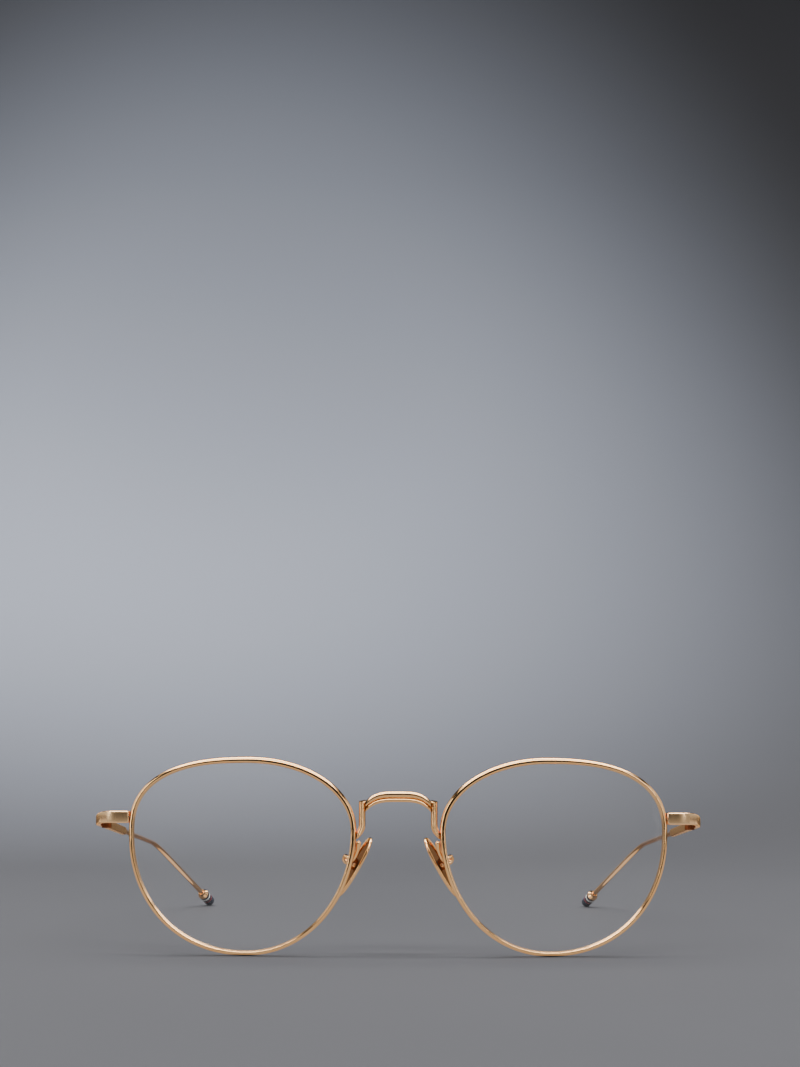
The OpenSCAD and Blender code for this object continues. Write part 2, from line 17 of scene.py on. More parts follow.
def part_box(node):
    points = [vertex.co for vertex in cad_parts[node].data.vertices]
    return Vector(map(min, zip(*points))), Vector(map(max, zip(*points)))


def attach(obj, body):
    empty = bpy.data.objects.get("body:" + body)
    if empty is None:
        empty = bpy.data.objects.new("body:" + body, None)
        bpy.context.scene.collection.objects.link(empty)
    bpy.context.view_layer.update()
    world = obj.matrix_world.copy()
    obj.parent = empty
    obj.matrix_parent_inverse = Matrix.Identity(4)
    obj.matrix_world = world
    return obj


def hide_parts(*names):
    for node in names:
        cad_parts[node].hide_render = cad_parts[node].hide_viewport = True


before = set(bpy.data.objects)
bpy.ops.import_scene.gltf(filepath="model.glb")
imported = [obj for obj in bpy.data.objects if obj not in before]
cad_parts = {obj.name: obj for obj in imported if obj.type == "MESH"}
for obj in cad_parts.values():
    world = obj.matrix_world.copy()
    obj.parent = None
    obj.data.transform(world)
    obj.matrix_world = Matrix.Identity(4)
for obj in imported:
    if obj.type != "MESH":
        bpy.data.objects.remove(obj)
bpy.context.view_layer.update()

MM = 0.001

# Lenses and rims
LENS_W = 50.0
LENS_H = 42.7
BRIDGE_GAP = 20.6           # between the two lenses
CROWN_UP = 5.6              # from the lens's middle up to its widest line
CROWN_IN = 1.2              # from the lens's middle in to its highest point
BASE_R = 105.0              # of the sphere that the lenses are cut from
WRAP = 4.0                  # turn of each lens about its upright line
LENS_T = 1.2
LENS_LIP = 0.12             # part of the lens's bevel that shows inside the rim
RIM_W = 1.05                # of the rim, seen from the front
RIM_SWELL = 0.45            # added where the rim is widest
SWELL_ANGLE = 115.0         # place of that on the rim
RIM_D = 1.7                 # of the rim, from front to back
GROOVE = 0.5                # depth of the groove that holds the lens
LUG_ANGLE = 6.5             # place on the rim where the endpiece meets it
RIM_SPLIT = 0.03            # opening of the rim's slit
LUG_GAP = 0.2               # between the rim and the endpiece
FIT = 0.05                  # play of the lens in its groove
RIM_STEPS = 420
LENS_STEPS = 180

# Half of the rim's section from the lens outwards, in shares of its width and its depth:
# as the construction has it, and with its faces worn round
RIM_HALF = [(0, 0.34), (0.14, 0.47), (0.45, 0.5), (0.82, 0.38), (1, 0.14)]
RIM_FACE = [(0.08, 0.3), (0.16, 0.38), (0.34, 0.43), (0.62, 0.4), (0.86, 0.27), (1, 0.05)]

# Bridge
BAR_H = 2.4
BAR_D = 1.7
BAR_HALF = 7.3              # half of its length
BAR_RISE = 14.7             # its top above the lens's middle
BAR_DROP = 2.2              # its ends below its top
BAR_BEND = 3.7              # power of the curve down to its ends
BAR_STEPS = 90
RIDGE_ROOT = 0.1            # in shares of its depth: where its ridges start
UPPER_BULGE = 0.4           # and how far the upper one stands out
LOWER_BULGE = 0.32          # and the lower one
RIDGE_GROOVE = -0.12        # height of the groove between them, in shares of its height
POST_W = 1.5
POST_FOOT = 183.5           # place on the rim where the post starts
POST_CREST = 164.0          # and where it ends
POST_CURL = 3.1             # height over which its foot curls to the rim
POST_REACH = 1.7            # how far it curls
POST_DEPTH = 0.9            # half of the post, from front to back
POST_FOOT_DEPTH = 0.5       # the same at the thin end of the foot
POST_THINNEST = 0.12        # width left there
POST_OFF_BAR = 0.02         # between the post and the bar's end
POST_OFF_RIM = 0.03         # between the post and the rim
POST_STEPS = 60
RIM_SLANT = 0.2             # fall of the post's crest towards the rim
FRONT_SLANT = 0.35          # and towards the front

# Nose pads
PAD_L = 15.2
PAD_W = 7.4
PAD_T = 0.8
PAD_X = 9.7                 # place of the pad's middle, from the nose line
PAD_BACK = 7.0              # behind the lens
PAD_DROP = 2.5              # and below the lens's middle
PAD_LEAN = 30.0
PAD_SPLAY = 14.0
PAD_TILT = 8.0
TRAY_DEPTH = 0.5            # of the satin tray in the pad's back
SCREW_RISE = 0.75           # from the tray's floor out to the screw that the pad rocks on
PAD_TRAY = PAD_T / 2 - TRAY_DEPTH
PAD_AXIS_X = PAD_TRAY + SCREW_RISE
PAD_AXIS_Z = 0.55           # of that screw, up from the pad's middle
PAD_LUG_R = 0.5
BOX_PLAY = 0.1              # between the lug and the pad box
BOX_WEB = 0.3               # thickness of the pad box's back
BOX_HIGH = PAD_AXIS_X + PAD_LUG_R + BOX_PLAY + BOX_WEB
ARM_D = 0.95                # of the wire that carries the pad
ARM_ANGLE = 186.0           # place on the rim where the wire is soldered
ARM_OFF_RIM = 0.02          # between the wire and the rim
ARM_BEAD = 0.6              # length of the wire's rounded end
ARM_SWELL = 0.2             # share by which the wire is thicker there

# Endpieces, hinges and temples
ENDPIECE_W = 8.3            # from the rim to the widest line of the glasses
STRAP_T = 1.2
STRAP_H = 2.2
LUG_H = 2.75                # of the endpiece at the rim
LUG_FORWARD = 0.35          # by which the endpiece stands before the rim's middle
LUG_RUN = 2.6               # straight part of the endpiece behind its bend
BEND_R = 5.0                # of the endpiece's outer face
TURN_OUT = 1.1              # by which the bend is wider here than in the construction
HINGE_RISE = 7.4            # of the hinge above the lens's middle
SEAM = 0.16                 # between the endpiece and the temple
STRAP_CORNER = 0.27         # radius of the temple's long edges
END_CORNER = 0.36           # radius of the endpiece's
END_BEVEL = 0.22            # of the endpiece's end at the rim
BEVEL_RUN = 0.2
END_POLISH = 0.18           # polished length at that end
EDGE_POLISH = 0.3           # polished height at the endpiece's top and at its bottom
TEMPLE_L = 103.5            # from the hinge to the ear bend
STRAP_L = 40.0              # of the flat strap
STRAP_TAPER = 0.86          # share of its height left at the strap's end
SHOULDER = 2.5              # over which the strap becomes a wire
WIRE_D = 1.25
TOE_IN = 2.6                # inwards, from the hinge to the ear bend
EAR_Z = 18.9                # of the ear bend over the floor
EAR_R = 38.0
EAR_IN = 12.1               # of the tip, inwards from the ear bend
EAR_BACK = 32.5             # and behind it
TIP_D = 2.8
TIP_L = 4.2
COLLAR_L = 1.9
WIRE_INTO_TIP = 2.0

LENS_X = (LENS_W + BRIDGE_GAP) / 2


# Small helpers

def unit(v):
    v = np.asarray(v, float)
    return v / np.linalg.norm(v)


def mix(a, b, t):
    return a + (b - a) * t


def ease(t):
    t = min(1.0, max(0.0, t))
    return t * t * (3 - 2 * t)


def cosd(a):
    return math.cos(math.radians(a))


def sind(a):
    return math.sin(math.radians(a))


def turn(axis, angle):
    """Rotation matrix about a coordinate axis, in degrees."""
    c, s = cosd(angle), sind(angle)
    return {
        "x": np.array([[1, 0, 0], [0, c, -s], [0, s, c]]),
        "y": np.array([[c, 0, s], [0, 1, 0], [-s, 0, c]]),
        "z": np.array([[c, -s, 0], [s, c, 0], [0, 0, 1]]),
    }[axis]


def smooth_curve(keys, steps):
    """A smooth curve through a few points."""
    keys = np.asarray(keys, float)
    every = np.vstack([2 * keys[0] - keys[1], keys, 2 * keys[-1] - keys[-2]])
    out = []
    for a, b, c, d in zip(every, every[1:], every[2:], every[3:]):
        for t in np.arange(steps) / steps:
            out.append(0.5 * (2 * b + (c - a) * t + (2 * a - 5 * b + 4 * c - d) * t**2
                              + (3 * b - a - 3 * c + d) * t**3))
    return np.array(out + [keys[-1]])


# The lens outline and its sphere, as in the construction

def lens_radius(a):
    """From the outline's own middle to the lens's edge, with another curve in each quarter."""
    c, s = cosd(a), sind(a)
    reach_x = LENS_W / 2 + (CROWN_IN if c > 0 else -CROWN_IN)
    reach_z = LENS_H / 2 + (-CROWN_UP if s > 0 else CROWN_UP)
    power = (2.5 if c > 0 else 2.05) if s > 0 else (2.13 if c > 0 else 2.02)
    return (abs(c / reach_x) ** power + abs(s / reach_z) ** power) ** (-1 / power)


def lens_edge(a):
    return np.array([-CROWN_IN, CROWN_UP]) + lens_radius(a) * np.array([cosd(a), sind(a)])


def edge_out(a):
    t = lens_edge(a + 1) - lens_edge(a - 1)
    return unit([t[1], -t[0]])


def on_sphere(e, lift):
    sag = BASE_R - math.sqrt(BASE_R**2 - e[0] ** 2 - e[1] ** 2)
    front = np.array([e[0], sag - BASE_R, e[1]]) / BASE_R
    return np.array([e[0], sag, e[1]]) + lift * front


def edge_point(a, grow, lift):
    """A point outside the lens's edge by grow and in front of its middle surface by lift."""
    return on_sphere(lens_edge(a) + grow * edge_out(a), lift)


def rim_width(a):
    return RIM_W + RIM_SWELL * ((1 + cosd(a - SWELL_ANGLE)) / 2) ** 2


def rim_outside(a):
    return rim_width(a) - GROOVE


def lowest_rim():
    """Height of the rim's lowest point from the lens's middle. That point stands on the floor."""
    underside = np.arange(240, 300, 1.0)
    return min(edge_point(a, p[0] * rim_width(a) - GROOVE, side * p[1] * RIM_D)[2]
               for a in underside for p in RIM_HALF for side in (1, -1))


LENS_Z = -lowest_rim()


def worn(p):
    """From the lens's own frame to its place in the glasses."""
    return turn("z", WRAP) @ p + np.array([LENS_X, 0, LENS_Z])


def rim_point(a, grow, lift):
    return worn(edge_point(a, grow, lift))


LUG = rim_point(LUG_ANGLE, rim_outside(LUG_ANGLE), 0)
LUG_Y = LUG[1] - LUG_FORWARD
HALF_W = LUG[0] + ENDPIECE_W
BEND_C = BEND_R - STRAP_T / 2
BEND_X = HALF_W - BEND_R
STRAP_X = HALF_W - STRAP_T / 2
HINGE_Y = LUG_Y + BEND_C + LUG_RUN
HINGE_Z = LENS_Z + HINGE_RISE
TEMPLE_START = np.array([STRAP_X, HINGE_Y + SEAM / 2, HINGE_Z])
EAR_BEND = np.array([STRAP_X - TOE_IN, HINGE_Y + TEMPLE_L, EAR_Z])
TIP_CENTRE = np.array([EAR_BEND[0] - EAR_IN, EAR_BEND[1] + EAR_BACK, TIP_D / 2])
TEMPLE_WAY = unit(EAR_BEND - TEMPLE_START)
EAR_WAY = unit(TIP_CENTRE - EAR_BEND)
COLLAR_START = TIP_CENTRE - (TIP_L + COLLAR_L) * EAR_WAY
PAD_CENTRE = np.array([PAD_X, PAD_BACK, LENS_Z - PAD_DROP])
PAD_TURN = turn("y", -PAD_LEAN) @ turn("x", PAD_TILT) @ turn("z", -PAD_SPLAY)
BAR_Y = rim_point(180, 0, 0)[1]

# The construction's middle lies at Y = 0, and the sketch above starts at the lenses
SCREW_LOW, SCREW_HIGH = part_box("hinge_screw_left")
MIDDLE_Y = HINGE_Y - (SCREW_LOW.y + SCREW_HIGH.y) / 2 / MM


def pad_point(p):
    return PAD_CENTRE + PAD_TURN @ np.asarray(p, float)


# Meshes

MERGE_M = 2e-6              # points nearer than this are one
THIN_M = 1e-7               # faces thinner than this go


def to_row(points, side):
    """From the sketch in millimetres to the row frame in metres, mirrored for the wearer's right."""
    points = np.array(points, float)
    points[..., 1] -= MIDDLE_Y
    points[..., 0] *= side
    return points * MM


def finish_mesh(obj, sharp=30):
    """Closes seams, turns faces outwards and sets smooth shading with sharp edges."""
    work = bmesh.new()
    work.from_mesh(obj.data)
    bmesh.ops.remove_doubles(work, verts=work.verts, dist=MERGE_M)
    bmesh.ops.dissolve_degenerate(work, dist=THIN_M, edges=work.edges)
    bmesh.ops.recalc_face_normals(work, faces=work.faces)
    work.to_mesh(obj.data)
    work.free()
    obj.data.shade_smooth()
    obj.data.set_sharp_from_angle(angle=math.radians(sharp))
    return obj


def new_object(name, mesh):
    obj = bpy.data.objects.new(name, mesh)
    bpy.context.scene.collection.objects.link(obj)
    return obj


def skin(name, rings, poles=None, sharp=30):
    """A closed skin over rings of points, with a pole at each end or flat ends."""
    rings = np.asarray(rings, float)
    count, sides = rings.shape[:2]
    points = list(rings.reshape(-1, 3))
    faces = [
        (i * sides + j, i * sides + (j + 1) % sides, (i + 1) * sides + (j + 1) % sides, (i + 1) * sides + j)
        for i in range(count - 1) for j in range(sides)
    ]
    last = (count - 1) * sides
    if poles is None:
        faces += [tuple(range(sides)), tuple(range(last, last + sides))]
    else:
        points += [poles[0], poles[1]]
        top = last + sides
        faces += [(j, (j + 1) % sides, top) for j in range(sides)]
        faces += [(last + j, last + (j + 1) % sides, top + 1) for j in range(sides)]
    mesh = bpy.data.meshes.new(name)
    mesh.from_pydata([tuple(p) for p in points], [], faces)
    return finish_mesh(new_object(name, mesh), sharp)


# A section carried along a path, in Geometry Nodes

def add_node(tree, kind, inputs=None, **settings):
    node = tree.nodes.new(kind)
    for key, value in settings.items():
        setattr(node, key, value)
    for key, value in (inputs or {}).items():
        if isinstance(value, bpy.types.NodeSocket):
            tree.links.new(value, node.inputs[key])
        else:
            node.inputs[key].default_value = value
    return node


# The Mix node's inputs A and B and its output, for each kind of value
MIX_SOCKETS = {"FLOAT": (2, 3, 0), "VECTOR": (4, 5, 1), "RGBA": (6, 7, 2)}


def mixed(tree, kind, factor, a, b):
    """The output of a Mix node that goes from a to b, each a socket or a value."""
    first, second, out = MIX_SOCKETS[kind]
    node = add_node(tree, "ShaderNodeMix", {"Factor": factor, first: a, second: b}, data_type=kind)
    return node.outputs[out]


def sampled(tree, geometry, attribute, kind, index):
    """Value of a named attribute at one point of a geometry."""
    read = add_node(tree, "GeometryNodeInputNamedAttribute", {"Name": attribute}, data_type=kind)
    pick = add_node(tree, "GeometryNodeSampleIndex", data_type=kind, domain="POINT")
    tree.links.new(geometry, pick.inputs["Geometry"])
    tree.links.new(read.outputs["Attribute"], pick.inputs["Value"])
    tree.links.new(index, pick.inputs["Index"])
    return pick.outputs["Value"]


def vector_maths(tree, operation, a, b, scale=None):
    node = add_node(tree, "ShaderNodeVectorMath", operation=operation)
    tree.links.new(a, node.inputs[0])
    if b is not None:
        tree.links.new(b, node.inputs[1])
    if scale is not None:
        tree.links.new(scale, node.inputs["Scale"])
    return node.outputs["Vector"]


def swept_section_tree():
    """Each point of the path carries two vectors, across and upward, that the section's x and y ride on.

    The section's points hold two shapes, and the path's roundness goes from the first to the second.
    """
    tree = bpy.data.node_groups.new("swept_section", "GeometryNodeTree")
    face = tree.interface
    for name, kind in (("Path", "Geometry"), ("Section", "Object"), ("Rings", "Int"), ("Sides", "Int"),
                       ("Finish", "Material")):
        face.new_socket(name, in_out="INPUT", socket_type="NodeSocket" + kind)
    face.new_socket("Piece", in_out="OUTPUT", socket_type="NodeSocketGeometry")
    start = tree.nodes.new("NodeGroupInput").outputs
    section = add_node(tree, "GeometryNodeObjectInfo", {"Object": start["Section"]}).outputs["Geometry"]
    columns = add_node(tree, "ShaderNodeMath", {0: start["Sides"], 1: 1.0}, operation="ADD").outputs[0]
    grid = add_node(tree, "GeometryNodeMeshGrid", {"Vertices X": start["Rings"], "Vertices Y": columns})
    index = tree.nodes.new("GeometryNodeInputIndex").outputs[0]
    share = add_node(tree, "ShaderNodeMath", {0: index, 1: columns}, operation="DIVIDE").outputs[0]
    ring = add_node(tree, "ShaderNodeMath", {0: share}, operation="FLOOR").outputs[0]
    column = add_node(tree, "ShaderNodeMath", {0: index, 1: columns}, operation="MODULO").outputs[0]
    side = add_node(tree, "ShaderNodeMath", {0: column, 1: start["Sides"]}, operation="MODULO").outputs[0]
    path = start["Path"]
    centre = sampled(tree, path, "centre", "FLOAT_VECTOR", ring)
    across = sampled(tree, path, "across", "FLOAT_VECTOR", ring)
    upward = sampled(tree, path, "upward", "FLOAT_VECTOR", ring)
    roundness = sampled(tree, path, "roundness", "FLOAT", ring)
    first = sampled(tree, section, "first_shape", "FLOAT_VECTOR", side)
    second = sampled(tree, section, "second_shape", "FLOAT_VECTOR", side)
    polish = sampled(tree, section, "polish", "FLOAT", side)
    shape = mixed(tree, "VECTOR", roundness, first, second)
    apart = add_node(tree, "ShaderNodeSeparateXYZ", {0: shape})
    sideways = vector_maths(tree, "SCALE", across, None, apart.outputs["X"])
    rising = vector_maths(tree, "SCALE", upward, None, apart.outputs["Y"])
    place = vector_maths(tree, "ADD", centre, vector_maths(tree, "ADD", sideways, rising))
    moved = add_node(tree, "GeometryNodeSetPosition", {"Geometry": grid.outputs["Mesh"], "Position": place})
    shine = add_node(tree, "ShaderNodeMath", {0: polish, 1: roundness}, operation="MAXIMUM").outputs[0]
    stored = add_node(tree, "GeometryNodeStoreNamedAttribute",
                      {"Geometry": moved.outputs["Geometry"], "Name": "polish", "Value": shine},
                      data_type="FLOAT", domain="POINT")
    joined = add_node(tree, "GeometryNodeMergeByDistance",
                      {"Geometry": stored.outputs["Geometry"], "Distance": MERGE_M})
    real = add_node(tree, "GeometryNodeRealizeInstances", {"Geometry": joined.outputs["Geometry"]})
    finish = add_node(tree, "GeometryNodeSetMaterial",
                      {"Geometry": real.outputs["Geometry"], "Material": start["Finish"]})
    end = tree.nodes.new("NodeGroupOutput")
    tree.links.new(finish.outputs["Geometry"], end.inputs["Piece"])
    return tree


SWEPT = swept_section_tree()


def point_cloud(name, count, vectors, floats):
    """A mesh of loose points with named attributes, for the sweep to read."""
    mesh = bpy.data.meshes.new(name)
    mesh.vertices.add(count)
    for key, values in vectors.items():
        mesh.attributes.new(key, "FLOAT_VECTOR", "POINT").data.foreach_set(
            "vector", np.asarray(values, np.float32).ravel())
    for key, values in floats.items():
        mesh.attributes.new(key, "FLOAT", "POINT").data.foreach_set("value", np.asarray(values, np.float32))
    return new_object(name, mesh)


def sweep(name, rows, section, finish, side, rounder=None, polish=None, sharp=30):
    """Runs the sweep over rows of (centre, across, upward, roundness) and returns a plain mesh piece.

    Each end is closed by a ring drawn in to the middle of its section. A rounder section takes
    over where roundness is 1, and polish marks the section's points that are polished bright.
    """
    section = np.asarray(section, float)
    rounder = section if rounder is None else np.asarray(rounder, float)
    middle = section.mean(axis=0)
    closed = []
    for end in (rows[0], rows[-1]):
        heart = end[0] + middle[0] * end[1] + middle[1] * end[2]
        closed.append((heart, np.zeros(3), np.zeros(3), end[3]))
    rows = [closed[0], *rows, closed[1]]
    centre = to_row([r[0] for r in rows], side)
    mirrored = np.array([side, 1, 1]) * MM
    path = point_cloud(
        name + "_path", len(rows),
        {
            "centre": centre,
            "across": [r[1] * mirrored for r in rows],
            "upward": [r[2] * mirrored for r in rows],
        },
        {"roundness": [r[3] for r in rows]},
    )
    flat = np.zeros((len(section), 1))
    cut = point_cloud(
        name + "_section", len(section),
        {"first_shape": np.hstack([section, flat]), "second_shape": np.hstack([rounder, flat])},
        {"polish": np.zeros(len(section)) if polish is None else polish},
    )
    modifier = path.modifiers.new("sweep", "NODES")
    modifier.node_group = SWEPT
    values = {"Section": cut, "Rings": len(rows), "Sides": len(section), "Finish": finish}
    for item in SWEPT.interface.items_tree:
        if item.name in values:
            modifier[item.identifier] = values[item.name]
    bpy.context.view_layer.update()
    made = path.evaluated_get(bpy.context.evaluated_depsgraph_get())
    mesh = bpy.data.meshes.new_from_object(made)
    mesh.name = name
    for scaffold in (path, cut):
        old = scaffold.data
        bpy.data.objects.remove(scaffold)
        bpy.data.meshes.remove(old)
    return finish_mesh(new_object(name, mesh), sharp)


def headings(path):
    steps = np.diff(path, axis=0)
    steps /= np.linalg.norm(steps, axis=1)[:, None]
    before = np.vstack([steps[:1], steps])
    after = np.vstack([steps, steps[-1:]])
    return [unit(b + a) for b, a in zip(before, after)]


def upright_rows(path, upright, across, upward, roundness):
    """Rows for sweep(): the section stands up along upright and turns with the path."""
    rows = []
    for p, way, a, b, r in zip(path, headings(path), across, upward, roundness):
        up = unit(np.asarray(upright, float) - (upright @ way) * way)
        rows.append((p, np.cross(up, way) * a, up * b, r))
    return rows


# Finishes

def new_material(name):
    material = bpy.data.materials.new(name)
    material.use_nodes = True
    nodes = material.node_tree.nodes
    return material, material.node_tree, nodes["Principled BSDF"]


def new_effect(name, inputs, outputs):
    """An empty shader group with named inputs and outputs, and the sockets that its own nodes use."""
    tree = bpy.data.node_groups.new(name, "ShaderNodeTree")
    for socket, kind in inputs:
        tree.interface.new_socket(socket, in_out="INPUT", socket_type="NodeSocket" + kind)
    for socket, kind in outputs:
        tree.interface.new_socket(socket, in_out="OUTPUT", socket_type="NodeSocket" + kind)
    return tree, tree.nodes.new("NodeGroupInput").outputs, tree.nodes.new("NodeGroupOutput").inputs


def worn_metal_group():
    """Colour drift, polishing haze and fine scratches, shared by all the metal finishes."""
    tree, start, end = new_effect(
        "worn_metal",
        (("Base", "Color"), ("Warm", "Color"), ("Drift Scale", "Float"), ("Roughness", "Float"),
         ("Haze", "Float"), ("Grain", "Vector"), ("Relief", "Float")),
        (("Color", "Color"), ("Roughness", "Float"), ("Normal", "Vector")))
    coords = tree.nodes.new("ShaderNodeTexCoord").outputs["Object"]
    drift = add_node(tree, "ShaderNodeTexNoise",
                     {"Vector": coords, "Scale": start["Drift Scale"], "Detail": 3.0})
    tint = mixed(tree, "RGBA", drift.outputs["Fac"], start["Base"], start["Warm"])
    stretched = add_node(tree, "ShaderNodeVectorMath", {0: coords, 1: start["Grain"]}, operation="MULTIPLY")
    grain = add_node(tree, "ShaderNodeTexNoise",
                     {"Vector": stretched.outputs[0], "Scale": 1.0, "Detail": 4.0, "Roughness": 0.65})
    hazy = add_node(tree, "ShaderNodeMath",
                    {0: grain.outputs["Fac"], 1: start["Haze"], 2: start["Roughness"]},
                    operation="MULTIPLY_ADD")
    bump = add_node(tree, "ShaderNodeBump", {"Strength": start["Relief"], "Distance": 0.0001,
                                             "Height": grain.outputs["Fac"]})
    tree.links.new(tint, end["Color"])
    tree.links.new(hazy.outputs[0], end["Roughness"])
    tree.links.new(bump.outputs["Normal"], end["Normal"])
    return tree


def clouded_plastic_group():
    """Soft clouds of a second colour, with a gloss that varies as they do, shared by the plastics."""
    tree, start, end = new_effect(
        "clouded_plastic",
        (("Base", "Color"), ("Cloud", "Color"), ("Cloud Scale", "Float"), ("Roughness", "Float"),
         ("Haze", "Float")),
        (("Color", "Color"), ("Roughness", "Float")))
    coords = tree.nodes.new("ShaderNodeTexCoord").outputs["Object"]
    clouds = add_node(tree, "ShaderNodeTexNoise",
                      {"Vector": coords, "Scale": start["Cloud Scale"], "Detail": 3.0})
    tint = mixed(tree, "RGBA", clouds.outputs["Fac"], start["Base"], start["Cloud"])
    hazy = add_node(tree, "ShaderNodeMath",
                    {0: clouds.outputs["Fac"], 1: start["Haze"], 2: start["Roughness"]},
                    operation="MULTIPLY_ADD")
    tree.links.new(tint, end["Color"])
    tree.links.new(hazy.outputs[0], end["Roughness"])
    return tree


WORN_METAL = worn_metal_group()
CLOUDED_PLASTIC = clouded_plastic_group()

# Each colour drifts over the piece to a second one
GOLD = ((0.93, 0.57, 0.27), (0.90, 0.49, 0.20))
CHAMPAGNE = ((0.95, 0.61, 0.33), (0.92, 0.52, 0.25))
SATIN = ((0.76, 0.51, 0.28), (0.68, 0.42, 0.20))
SCREW = ((0.80, 0.60, 0.42), (0.72, 0.5, 0.33))
# Painted shade: the hinges and pad boxes are coloured dark red-brown for the shade they sit in
PAINTED_SHADE = ((0.30, 0.10, 0.04), (0.24, 0.07, 0.03))
# Painted shade: the pad's satin tray is coloured dark brown for the shade it lies in
TRAY_PAINTED_SHADE = ((0.26, 0.17, 0.10), (0.20, 0.12, 0.07))
NAVY = ((0.006, 0.010, 0.024), (0.010, 0.015, 0.034))
CREAM = ((0.78, 0.76, 0.70), (0.70, 0.67, 0.60))
RED = ((0.23, 0.022, 0.028), (0.16, 0.014, 0.02))

# Tint of the reflection at a grazing angle, which is white where none is given
GOLD_EDGE = (0.62, 0.40, 0.24)
SATIN_EDGE = (0.7, 0.5, 0.33)
# the tray's dark grazing tint is painted shade as well
TRAY_EDGE_PAINTED_SHADE = (0.2, 0.13, 0.08)

# Grain to the metre along X, Y and Z: fine scratches, or a brushing that runs one way
FINE = (2500, 2500, 2500)
SCRATCHED = (3000, 3000, 3000)
DRAWN = (4000, 4000, 300)
BRUSHED = (9000, 9000, 250)
SCRUBBED = (6000, 6000, 700)

DRIFT = 90.0                # patches of colour to the metre
SATIN_DRIFT = 140.0


def worn_finish(tree, colours, roughness, haze, grain, relief, drift=DRIFT):
    """The shared wear with one finish's own values."""
    base, warm = colours
    return add_node(tree, "ShaderNodeGroup",
                    {"Base": (*base, 1), "Warm": (*warm, 1), "Drift Scale": drift, "Roughness": roughness,
                     "Haze": haze, "Grain": grain, "Relief": relief}, node_tree=WORN_METAL)


def metal(name, colours, roughness, haze, grain, relief, edge=GOLD_EDGE):
    material, tree, shader = new_material(name)
    wear = worn_finish(tree, colours, roughness, haze, grain, relief)
    shader.inputs["Metallic"].default_value = 1.0
    shader.inputs["Specular Tint"].default_value = (*edge, 1)
    tree.links.new(wear.outputs["Color"], shader.inputs["Base Color"])
    tree.links.new(wear.outputs["Roughness"], shader.inputs["Roughness"])
    tree.links.new(wear.outputs["Normal"], shader.inputs["Normal"])
    return material


def satin_with_polished_edges(name):
    """Brushed faces, and bevels polished bright where the piece's polish attribute says so."""
    material, tree, shader = new_material(name)
    brushed = worn_finish(tree, SATIN, roughness=0.2, haze=0.2, grain=BRUSHED, relief=0.1, drift=SATIN_DRIFT)
    bright = worn_finish(tree, CHAMPAGNE, roughness=0.08, haze=0.06, grain=FINE, relief=0.01)
    polish = add_node(tree, "ShaderNodeAttribute", attribute_name="polish").outputs["Fac"]
    shader.inputs["Metallic"].default_value = 1.0
    shader.inputs["Specular Tint"].default_value = (*SATIN_EDGE, 1)
    for socket, kind, target in (("Color", "RGBA", "Base Color"), ("Roughness", "FLOAT", "Roughness"),
                                 ("Normal", "VECTOR", "Normal")):
        blend = mixed(tree, kind, polish, brushed.outputs[socket], bright.outputs[socket])
        tree.links.new(blend, shader.inputs[target])
    return material


def clear_lens(name):
    """A coated lens that is nearly invisible face on and mirrors a little at its rim.

    Its alpha is a thin veil with a little dust, and half of the glance off its surface.
    """
    veil, dust_share, glance = 0.012, 0.015, 0.5
    material, tree, shader = new_material(name)
    shader.inputs["Base Color"].default_value = (0.5, 0.5, 0.52, 1)
    shader.inputs["Roughness"].default_value = 0.02
    shader.inputs["IOR"].default_value = 1.5
    facing = add_node(tree, "ShaderNodeLayerWeight", {"Blend": 0.25})
    coords = tree.nodes.new("ShaderNodeTexCoord").outputs["Object"]
    dust = add_node(tree, "ShaderNodeTexNoise", {"Vector": coords, "Scale": 220.0, "Detail": 5.0})
    dusty = add_node(tree, "ShaderNodeMath", {0: dust.outputs["Fac"], 1: dust_share, 2: veil},
                     operation="MULTIPLY_ADD")
    seen = add_node(tree, "ShaderNodeMath", {0: facing.outputs["Fresnel"], 1: glance, 2: dusty.outputs[0]},
                    operation="MULTIPLY_ADD")
    tree.links.new(seen.outputs[0], shader.inputs["Alpha"])
    return material


def glossy_plastic(name, colours):
    material, tree, shader = new_material(name)
    base, cloud = colours
    clouded = add_node(tree, "ShaderNodeGroup",
                       {"Base": (*base, 1), "Cloud": (*cloud, 1), "Cloud Scale": 700.0, "Roughness": 0.1,
                        "Haze": 0.12}, node_tree=CLOUDED_PLASTIC)
    tree.links.new(clouded.outputs["Color"], shader.inputs["Base Color"])
    tree.links.new(clouded.outputs["Roughness"], shader.inputs["Roughness"])
    shader.inputs["Coat Weight"].default_value = 0.15
    return material


POLISHED_GOLD = metal("polished_gold", GOLD, roughness=0.07, haze=0.08, grain=FINE, relief=0.012)
SCREW_GOLD = metal("screw_gold", SCREW, roughness=0.16, haze=0.12, grain=SCRATCHED, relief=0.03)
DRAWN_GOLD = metal("drawn_gold", GOLD, roughness=0.15, haze=0.1, grain=DRAWN, relief=0.03)
PAINTED_SHADE_GOLD = metal("painted_shade_gold", PAINTED_SHADE, roughness=0.25, haze=0.12, grain=SCRATCHED, relief=0.05)
TRAY_GOLD_PAINTED_SHADE = metal("tray_gold_painted_shade", TRAY_PAINTED_SHADE, roughness=0.4, haze=0.15, grain=SCRUBBED, relief=0.2, edge=TRAY_EDGE_PAINTED_SHADE)
SATIN_GOLD = satin_with_polished_edges("satin_gold")
CLEAR_LENS = clear_lens("clear_lens")
NAVY_TIP = glossy_plastic("navy_tip", NAVY)
CREAM_RING = glossy_plastic("cream_ring", CREAM)
RED_RING = glossy_plastic("red_ring", RED)

SIDES = (("left", 1), ("right", -1))


def seat(piece, finish, body, slot, *nodes):
    """Gives a finished piece its material and its body, and hides the CAD nodes it stands for."""
    if finish is not None:
        piece.data.materials.clear()
        piece.data.materials.append(finish)
    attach(piece, body)
    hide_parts(*nodes)
    return piece


# Pieces

def rim_section():
    """The construction's section with its faces worn round: a half section and its mirror image."""
    half = smooth_curve(RIM_FACE, 6)
    return np.vstack([half, half[::-1] * np.array([1, -1])])


